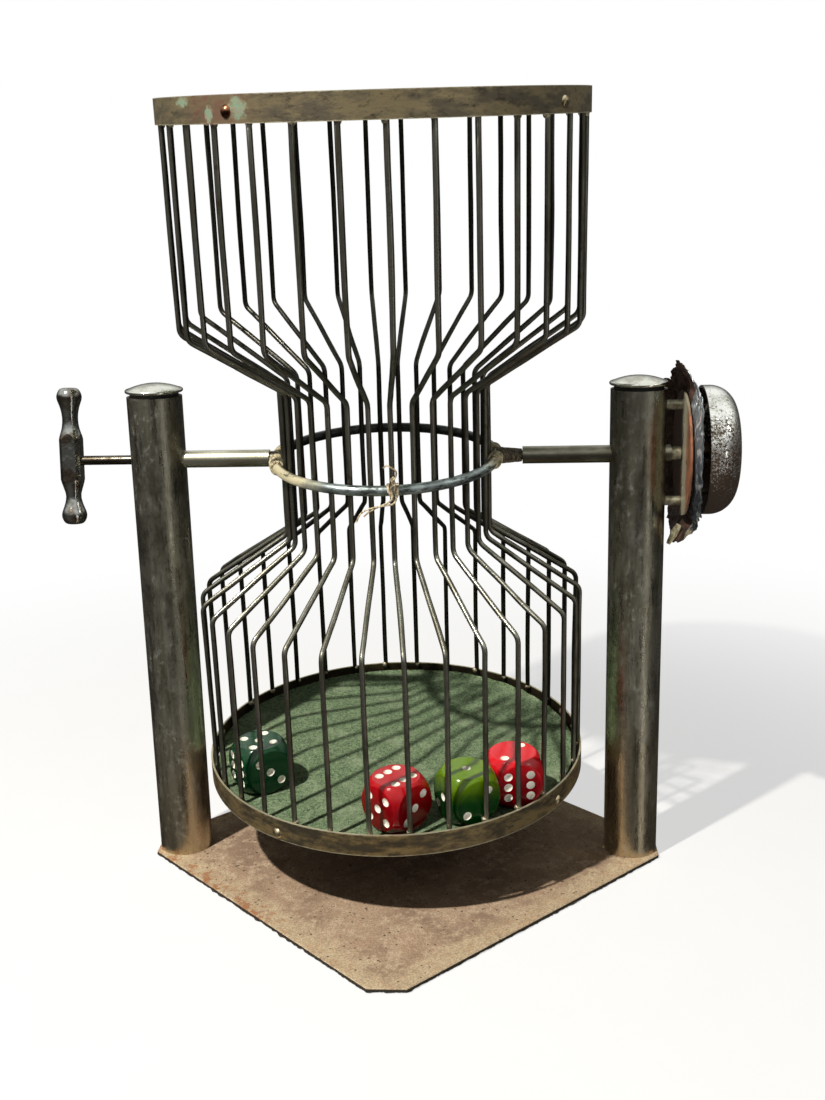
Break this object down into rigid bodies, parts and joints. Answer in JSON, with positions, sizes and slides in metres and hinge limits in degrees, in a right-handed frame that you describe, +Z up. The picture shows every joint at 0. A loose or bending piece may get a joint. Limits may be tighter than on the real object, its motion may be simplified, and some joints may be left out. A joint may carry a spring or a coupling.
{
  "type": "dice cage",
  "caption": "Hourglass wire dice cage with felt floors, turning between two tube posts on a square base, with a T-handle, a cam-struck gong and loose dice.",
  "frame": {"origin": "centre of the base's underside", "axes": "+Z up, +X along the shafts from the handle to the bell, -Y the front, where the low edge of the cage rests"},
  "size_m": [0.4326, 0.3412, 0.5011],
  "materials": {
    "pad_felt": "dark worn felt",
    "base_sheet": "bare sheet, rust speckled, worn to bright edges",
    "post_nickel": "dull nickel plate with dark stains",
    "cap_nickel": "polished nickel, lightly dulled",
    "shaft_steel": "dull plated steel",
    "bar_steel": "darkened nickel-plated wire",
    "ring_zinc": "galvanised wire, worn",
    "tie_wire": "oxidised copper wire",
    "band_brass": "dark tarnished brass with verdigris",
    "screw_brass": "worn brass",
    "disc_wood": "dark stained plywood",
    "green_felt": "worn green felt",
    "handle_nickel": "polished nickel, slightly dull",
    "copper_disc": "worn copper with pale margin",
    "guard_tin": "crumpled tin sheet",
    "gong_nickel": "pitted nickel plate",
    "bell_iron": "plain oiled steel",
    "die_red": "translucent red resin, white pips",
    "die_green": "translucent green resin, white pips",
    "die_dark_green": "translucent dark green resin, white pips"
  },
  "bodies": {
    "stand": {"base_pad": "pad_felt", "base_plate": "base_sheet", "post_foot_screws": "bell_iron", "bell_screws": "bell_iron", "bell_spacers": "shaft_steel", "bell_base_disc": "copper_disc", "bell_guard_plate": "guard_tin", "bell_bridge": "bell_iron", "gong": "gong_nickel", "gong_stud": "bell_iron", "gong_nut": "handle_nickel", "hammer_pivot_pin": "bell_iron", "hammer_spring": "bell_iron", "left_post": "post_nickel", "right_post": "post_nickel", "left_foot_plug": "bell_iron", "right_foot_plug": "bell_iron", "left_post_cap": "cap_nickel", "right_post_cap": "cap_nickel", "left_bearing_tube": "shaft_steel", "right_bearing_tube": "shaft_steel"},
    "cage": {"cage_bars": "bar_steel", "top_band": "band_brass", "bottom_band": "band_brass", "top_band_screws": "screw_brass", "bottom_band_screws": "screw_brass", "top_disc": "disc_wood", "bottom_disc": "disc_wood", "top_felt": "green_felt", "bottom_felt": "green_felt", "waist_ring": "ring_zinc", "ring_bindings": "tie_wire", "ring_tie_wire": "tie_wire", "left_shaft": "shaft_steel", "right_shaft": "shaft_steel", "t_handle": "handle_nickel", "handle_grub_screw": "bell_iron", "shaft_collar": "shaft_steel", "striker_cam": "bell_iron"},
    "hammer": {"hammer_arm": "bell_iron", "hammer_head": "screw_brass"},
    "die_green_left": {"die_green_left": "die_dark_green"},
    "die_red_front": {"die_red_front": "die_red"},
    "die_green_right": {"die_green_right": "die_green"},
    "die_red_right": {"die_red_right": "die_red"}
  },
  "joints": [
    {"name": "cage_spin", "type": "hinge", "parent": "stand", "child": "cage", "pos_m": [0, 0, 0.2735], "axis": [1, 0, 0], "continuous": true},
    {"name": "hammer_swing", "type": "hinge", "parent": "stand", "child": "hammer", "pos_m": [0.194, -0.022, 0.2715], "axis": [1, 0, 0], "range_deg": [-8, 5], "stiffness_Nm_per_rad": 0.01},
    {"name": "lift_green_left", "type": "slide", "parent": "cage", "child": "die_green_left", "axis": [0, -0.0819, 0.9966], "range_m": [0, 0.06]},
    {"name": "lift_red_front", "type": "slide", "parent": "cage", "child": "die_red_front", "axis": [0, -0.0819, 0.9966], "range_m": [0, 0.06]},
    {"name": "lift_green_right", "type": "slide", "parent": "cage", "child": "die_green_right", "axis": [0, -0.0819, 0.9966], "range_m": [0, 0.06]},
    {"name": "lift_red_right", "type": "slide", "parent": "cage", "child": "die_red_right", "axis": [0, -0.0819, 0.9966], "range_m": [0, 0.06]}
  ]
}
